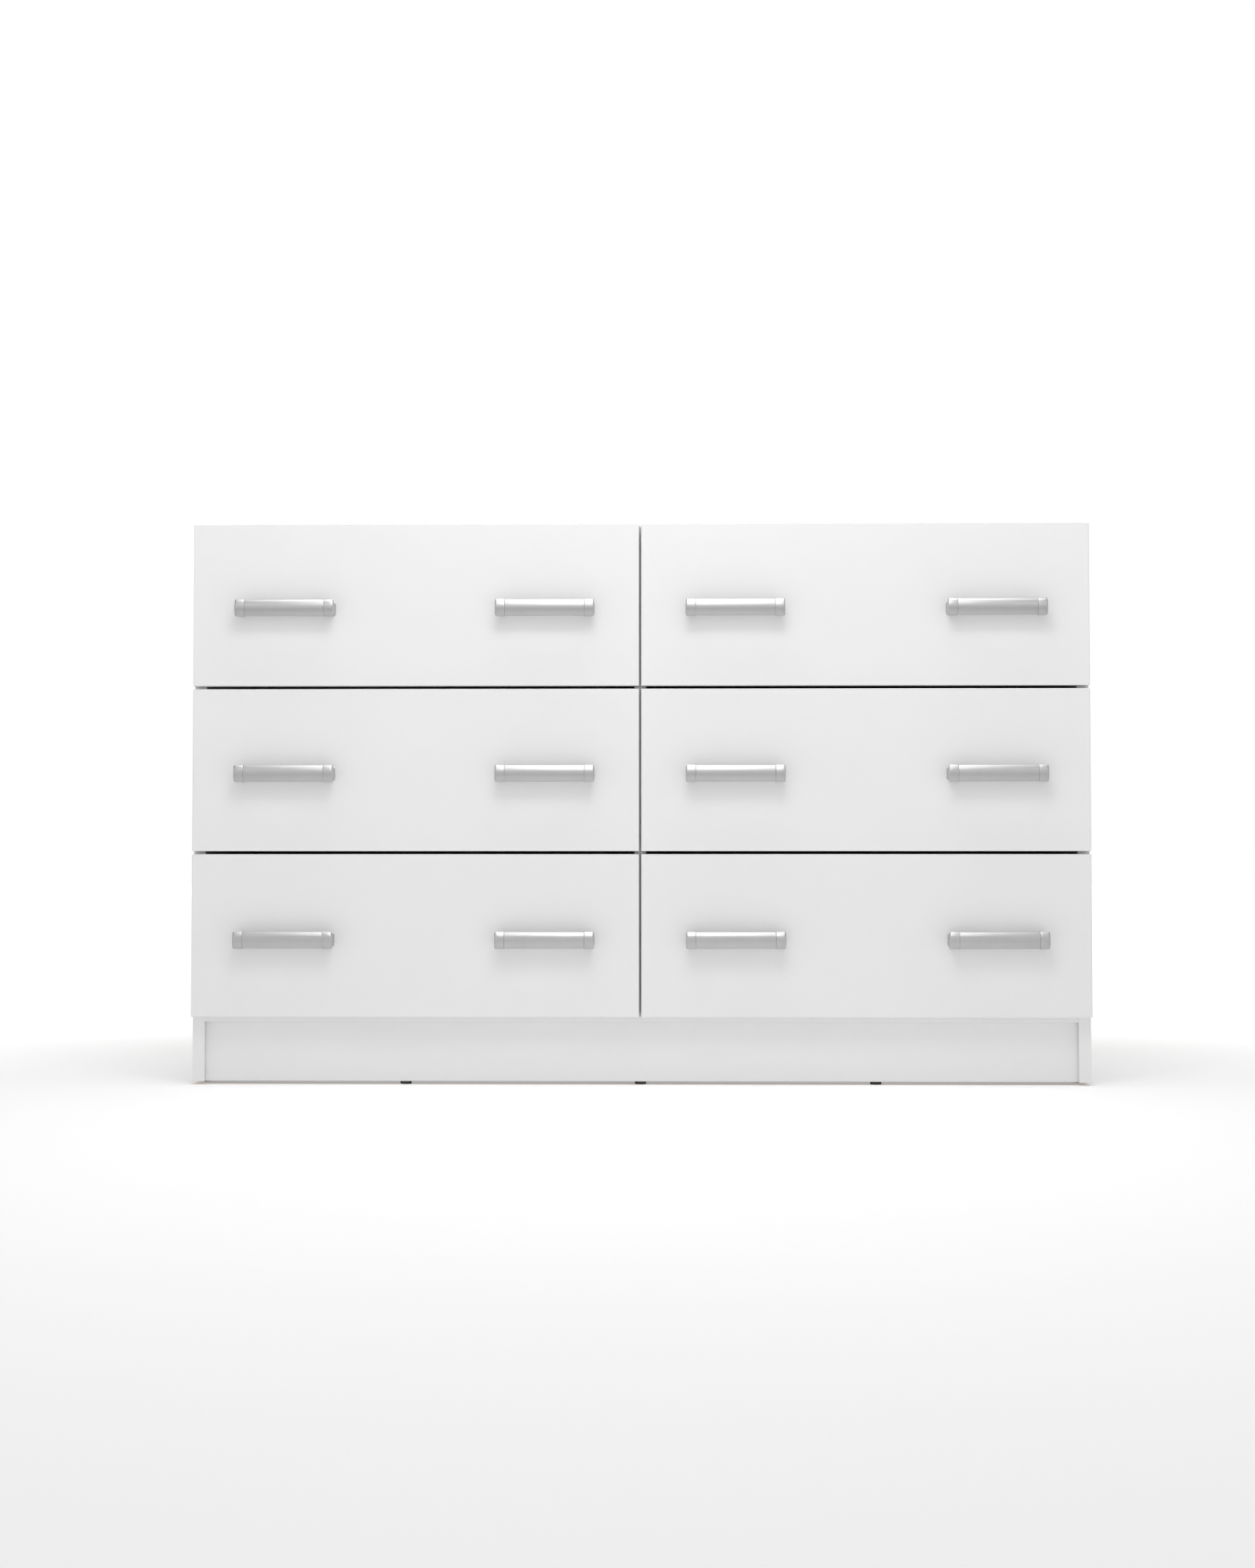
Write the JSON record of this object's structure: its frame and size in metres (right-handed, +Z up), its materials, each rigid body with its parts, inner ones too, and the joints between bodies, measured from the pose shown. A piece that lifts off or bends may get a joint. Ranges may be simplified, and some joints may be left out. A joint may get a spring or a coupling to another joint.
{
  "type": "low chest of drawers",
  "caption": "Low, wide white chest of overlay-front drawers in two columns, with short silver bar handles and a recessed plinth.",
  "frame": {"origin": "on the floor, under the middle of the chest's outline with its handles", "axes": "+X to the right seen from the front, +Y towards the wall behind, +Z up; the drawers open towards -Y"},
  "size_m": [1.2, 0.426, 0.75],
  "materials": {
    "front_board": "satin white melamine on chipboard",
    "carcass_board": "satin white melamine on chipboard",
    "box_board": "satin white melamine on thin chipboard",
    "hardboard": "white painted hardboard",
    "handle_aluminium": "satin anodised",
    "runner_steel": "white epoxy powder coat",
    "zinc_steel": "zinc plated",
    "nylon": "white nylon",
    "strip_plastic": "white extruded plastic",
    "glide_plastic": "dark plastic"
  },
  "bodies": {
    "cabinet": {"top_panel": "carcass_board", "base_panel": "carcass_board", "centre_partition": "carcass_board", "front_plinth": "front_board", "rear_plinth_and_rail": "carcass_board", "side_panel_left": "carcass_board", "side_panel_right": "carcass_board", "back_panels": "hardboard", "back_joining_strip": "strip_plastic", "cabinet_runners": "runner_steel", "floor_glides": "glide_plastic", "cabinet_fasteners": "zinc_steel"},
    "drawer_bottom_left": {"drawer_bottom_left_front": "front_board", "drawer_bottom_left_box": "box_board", "drawer_bottom_left_bottom": "hardboard", "drawer_bottom_left_handles": "handle_aluminium", "drawer_bottom_left_runners": "runner_steel", "drawer_bottom_left_fittings": "zinc_steel"},
    "drawer_bottom_left_rear_rollers": {"drawer_bottom_left_rear_rollers": "nylon"},
    "drawer_bottom_left_front_rollers": {"drawer_bottom_left_front_rollers": "nylon"},
    "drawer_bottom_right": {"drawer_bottom_right_front": "front_board", "drawer_bottom_right_box": "box_board", "drawer_bottom_right_bottom": "hardboard", "drawer_bottom_right_handles": "handle_aluminium", "drawer_bottom_right_runners": "runner_steel", "drawer_bottom_right_fittings": "zinc_steel"},
    "drawer_bottom_right_rear_rollers": {"drawer_bottom_right_rear_rollers": "nylon"},
    "drawer_bottom_right_front_rollers": {"drawer_bottom_right_front_rollers": "nylon"},
    "drawer_middle_left": {"drawer_middle_left_front": "front_board", "drawer_middle_left_box": "box_board", "drawer_middle_left_bottom": "hardboard", "drawer_middle_left_handles": "handle_aluminium", "drawer_middle_left_runners": "runner_steel", "drawer_middle_left_fittings": "zinc_steel"},
    "drawer_middle_left_rear_rollers": {"drawer_middle_left_rear_rollers": "nylon"},
    "drawer_middle_left_front_rollers": {"drawer_middle_left_front_rollers": "nylon"},
    "drawer_middle_right": {"drawer_middle_right_front": "front_board", "drawer_middle_right_box": "box_board", "drawer_middle_right_bottom": "hardboard", "drawer_middle_right_handles": "handle_aluminium", "drawer_middle_right_runners": "runner_steel", "drawer_middle_right_fittings": "zinc_steel"},
    "drawer_middle_right_rear_rollers": {"drawer_middle_right_rear_rollers": "nylon"},
    "drawer_middle_right_front_rollers": {"drawer_middle_right_front_rollers": "nylon"},
    "drawer_top_left": {"drawer_top_left_front": "front_board", "drawer_top_left_box": "box_board", "drawer_top_left_bottom": "hardboard", "drawer_top_left_handles": "handle_aluminium", "drawer_top_left_runners": "runner_steel", "drawer_top_left_fittings": "zinc_steel"},
    "drawer_top_left_rear_rollers": {"drawer_top_left_rear_rollers": "nylon"},
    "drawer_top_left_front_rollers": {"drawer_top_left_front_rollers": "nylon"},
    "drawer_top_right": {"drawer_top_right_front": "front_board", "drawer_top_right_box": "box_board", "drawer_top_right_bottom": "hardboard", "drawer_top_right_handles": "handle_aluminium", "drawer_top_right_runners": "runner_steel", "drawer_top_right_fittings": "zinc_steel"},
    "drawer_top_right_rear_rollers": {"drawer_top_right_rear_rollers": "nylon"},
    "drawer_top_right_front_rollers": {"drawer_top_right_front_rollers": "nylon"}
  },
  "joints": [
    {"name": "drawer_bottom_left_slide", "type": "slide", "parent": "cabinet", "child": "drawer_bottom_left", "axis": [0, -1, 0], "range_m": [0, 0.26]},
    {"name": "drawer_bottom_left_rear_rollers_spin", "type": "hinge", "parent": "drawer_bottom_left", "child": "drawer_bottom_left_rear_rollers", "pos_m": [-0.296, 0.169, 0.1208], "axis": [1, 0, 0], "continuous": true},
    {"name": "drawer_bottom_left_front_rollers_spin", "type": "hinge", "parent": "cabinet", "child": "drawer_bottom_left_front_rollers", "pos_m": [-0.296, -0.155, 0.1209], "axis": [1, 0, 0], "continuous": true},
    {"name": "drawer_bottom_right_slide", "type": "slide", "parent": "cabinet", "child": "drawer_bottom_right", "axis": [0, -1, 0], "range_m": [0, 0.26]},
    {"name": "drawer_bottom_right_rear_rollers_spin", "type": "hinge", "parent": "drawer_bottom_right", "child": "drawer_bottom_right_rear_rollers", "pos_m": [0.296, 0.169, 0.1208], "axis": [1, 0, 0], "continuous": true},
    {"name": "drawer_bottom_right_front_rollers_spin", "type": "hinge", "parent": "cabinet", "child": "drawer_bottom_right_front_rollers", "pos_m": [0.296, -0.155, 0.1209], "axis": [1, 0, 0], "continuous": true},
    {"name": "drawer_middle_left_slide", "type": "slide", "parent": "cabinet", "child": "drawer_middle_left", "axis": [0, -1, 0], "range_m": [0, 0.26]},
    {"name": "drawer_middle_left_rear_rollers_spin", "type": "hinge", "parent": "drawer_middle_left", "child": "drawer_middle_left_rear_rollers", "pos_m": [-0.296, 0.169, 0.3418], "axis": [1, 0, 0], "continuous": true},
    {"name": "drawer_middle_left_front_rollers_spin", "type": "hinge", "parent": "cabinet", "child": "drawer_middle_left_front_rollers", "pos_m": [-0.296, -0.155, 0.3419], "axis": [1, 0, 0], "continuous": true},
    {"name": "drawer_middle_right_slide", "type": "slide", "parent": "cabinet", "child": "drawer_middle_right", "axis": [0, -1, 0], "range_m": [0, 0.26]},
    {"name": "drawer_middle_right_rear_rollers_spin", "type": "hinge", "parent": "drawer_middle_right", "child": "drawer_middle_right_rear_rollers", "pos_m": [0.296, 0.169, 0.3418], "axis": [1, 0, 0], "continuous": true},
    {"name": "drawer_middle_right_front_rollers_spin", "type": "hinge", "parent": "cabinet", "child": "drawer_middle_right_front_rollers", "pos_m": [0.296, -0.155, 0.3419], "axis": [1, 0, 0], "continuous": true},
    {"name": "drawer_top_left_slide", "type": "slide", "parent": "cabinet", "child": "drawer_top_left", "axis": [0, -1, 0], "range_m": [0, 0.26]},
    {"name": "drawer_top_left_rear_rollers_spin", "type": "hinge", "parent": "drawer_top_left", "child": "drawer_top_left_rear_rollers", "pos_m": [-0.296, 0.169, 0.5628], "axis": [1, 0, 0], "continuous": true},
    {"name": "drawer_top_left_front_rollers_spin", "type": "hinge", "parent": "cabinet", "child": "drawer_top_left_front_rollers", "pos_m": [-0.296, -0.155, 0.5629], "axis": [1, 0, 0], "continuous": true},
    {"name": "drawer_top_right_slide", "type": "slide", "parent": "cabinet", "child": "drawer_top_right", "axis": [0, -1, 0], "range_m": [0, 0.26]},
    {"name": "drawer_top_right_rear_rollers_spin", "type": "hinge", "parent": "drawer_top_right", "child": "drawer_top_right_rear_rollers", "pos_m": [0.296, 0.169, 0.5628], "axis": [1, 0, 0], "continuous": true},
    {"name": "drawer_top_right_front_rollers_spin", "type": "hinge", "parent": "cabinet", "child": "drawer_top_right_front_rollers", "pos_m": [0.296, -0.155, 0.5629], "axis": [1, 0, 0], "continuous": true}
  ],
  "couplings": [
    {"joint": "drawer_bottom_left_rear_rollers_spin", "follows": "drawer_bottom_left_slide", "rad_per_m": 117.65},
    {"joint": "drawer_bottom_left_front_rollers_spin", "follows": "drawer_bottom_left_slide", "rad_per_m": 111.11},
    {"joint": "drawer_bottom_right_rear_rollers_spin", "follows": "drawer_bottom_right_slide", "rad_per_m": 117.65},
    {"joint": "drawer_bottom_right_front_rollers_spin", "follows": "drawer_bottom_right_slide", "rad_per_m": 111.11},
    {"joint": "drawer_middle_left_rear_rollers_spin", "follows": "drawer_middle_left_slide", "rad_per_m": 117.65},
    {"joint": "drawer_middle_left_front_rollers_spin", "follows": "drawer_middle_left_slide", "rad_per_m": 111.11},
    {"joint": "drawer_middle_right_rear_rollers_spin", "follows": "drawer_middle_right_slide", "rad_per_m": 117.65},
    {"joint": "drawer_middle_right_front_rollers_spin", "follows": "drawer_middle_right_slide", "rad_per_m": 111.11},
    {"joint": "drawer_top_left_rear_rollers_spin", "follows": "drawer_top_left_slide", "rad_per_m": 117.65},
    {"joint": "drawer_top_left_front_rollers_spin", "follows": "drawer_top_left_slide", "rad_per_m": 111.11},
    {"joint": "drawer_top_right_rear_rollers_spin", "follows": "drawer_top_right_slide", "rad_per_m": 117.65},
    {"joint": "drawer_top_right_front_rollers_spin", "follows": "drawer_top_right_slide", "rad_per_m": 111.11}
  ]
}
